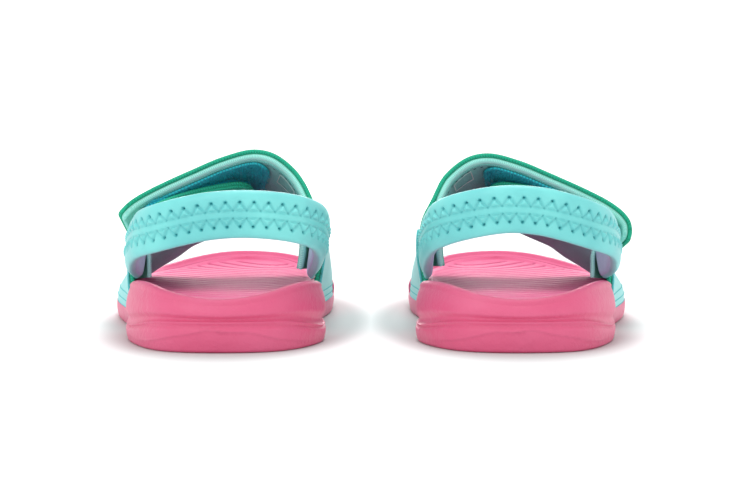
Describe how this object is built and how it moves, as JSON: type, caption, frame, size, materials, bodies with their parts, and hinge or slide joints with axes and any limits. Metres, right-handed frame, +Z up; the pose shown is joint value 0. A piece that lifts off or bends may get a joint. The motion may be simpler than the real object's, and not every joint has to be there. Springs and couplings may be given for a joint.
{
  "type": "strappy sport sandal pair",
  "caption": "Child's strappy sport sandals: moulded sole with sculpted footbed, wide instep band closed by an over-flap and hook-and-loop tab, embossed padded heel strap.",
  "frame": {"origin": "bottom centre of the pair's bounding box, on the ground plane between the two sandals", "axes": "+Z up, +Y from the heels to the toes, +X towards the wearer's right; the right sandal is at +X"},
  "size_m": [0.1836, 0.194, 0.0609],
  "materials": {
    "moulded_sole": "soft one-piece foam, satin with a fine pebble",
    "side_overlay": "smooth welded film with a textured border",
    "band_textile": "fine woven textile",
    "padding": "soft foam padding",
    "band_lining": "fine knitted mesh lining",
    "hook_tape": "hook tape",
    "loop_tape": "brushed loop tape",
    "strap_cover": "smooth embossed cover",
    "strap_lining": "soft brushed lining"
  },
  "bodies": {
    "left_base": {"left_sole": "moulded_sole", "left_medial_overlay": "side_overlay", "left_medial_quarter_shell": "band_textile", "left_medial_quarter_foam": "padding", "left_medial_quarter_lining": "band_lining", "left_lateral_overlay": "side_overlay", "left_lateral_quarter_shell": "band_textile", "left_lateral_quarter_foam": "padding", "left_lateral_quarter_lining": "band_lining"},
    "left_instep_flap": {"left_instep_flap_shell": "band_textile", "left_instep_flap_foam": "padding", "left_instep_flap_lining": "band_lining", "left_flap_hook_pad": "hook_tape"},
    "left_lateral_tab": {"left_lateral_tab_shell": "band_textile", "left_lateral_tab_lining": "band_lining", "left_tab_loop_pad": "loop_tape"},
    "left_heel_strap": {"left_heel_strap_cover": "strap_cover", "left_heel_strap_foam": "padding", "left_heel_strap_lining": "strap_lining"},
    "right_base": {"right_sole": "moulded_sole", "right_medial_overlay": "side_overlay", "right_medial_quarter_shell": "band_textile", "right_medial_quarter_foam": "padding", "right_medial_quarter_lining": "band_lining", "right_lateral_overlay": "side_overlay", "right_lateral_quarter_shell": "band_textile", "right_lateral_quarter_foam": "padding", "right_lateral_quarter_lining": "band_lining"},
    "right_instep_flap": {"right_instep_flap_shell": "band_textile", "right_instep_flap_foam": "padding", "right_instep_flap_lining": "band_lining", "right_flap_hook_pad": "hook_tape"},
    "right_lateral_tab": {"right_lateral_tab_shell": "band_textile", "right_lateral_tab_lining": "band_lining", "right_tab_loop_pad": "loop_tape"},
    "right_heel_strap": {"right_heel_strap_cover": "strap_cover", "right_heel_strap_foam": "padding", "right_heel_strap_lining": "strap_lining"}
  },
  "joints": [
    {"name": "right_sandal_lift", "type": "slide", "parent": "left_base", "child": "right_base", "axis": [0, 0, 1], "range_m": [0, 0.12]},
    {"name": "left_flap_open", "type": "hinge", "parent": "left_base", "child": "left_instep_flap", "pos_m": [-0.02299, 0.00503, 0.03941], "axis": [-0.1242, 0.9826, -0.1384], "range_deg": [0, 110]},
    {"name": "left_tab_spread", "type": "hinge", "parent": "left_base", "child": "left_lateral_tab", "pos_m": [-0.07593, 0.00274, 0.03002], "axis": [-0.164, -0.9724, 0.1658], "range_deg": [0, 28]},
    {"name": "left_heel_strap_swing", "type": "hinge", "parent": "left_base", "child": "left_heel_strap", "pos_m": [-0.047, -0.0404, 0.0305], "axis": [-1, 0, 0], "range_deg": [-12, 65]},
    {"name": "right_flap_open", "type": "hinge", "parent": "right_base", "child": "right_instep_flap", "pos_m": [0.02299, 0.00503, 0.03941], "axis": [-0.1242, -0.9826, 0.1384], "range_deg": [0, 110]},
    {"name": "right_tab_spread", "type": "hinge", "parent": "right_base", "child": "right_lateral_tab", "pos_m": [0.07593, 0.00274, 0.03002], "axis": [-0.164, 0.9724, -0.1658], "range_deg": [0, 28]},
    {"name": "right_heel_strap_swing", "type": "hinge", "parent": "right_base", "child": "right_heel_strap", "pos_m": [0.047, -0.0404, 0.0305], "axis": [-1, 0, 0], "range_deg": [-12, 65]}
  ],
  "couplings": [
    {"joint": "left_tab_spread", "follows": "left_flap_open", "ratio": 0.25},
    {"joint": "right_tab_spread", "follows": "right_flap_open", "ratio": 0.25}
  ]
}
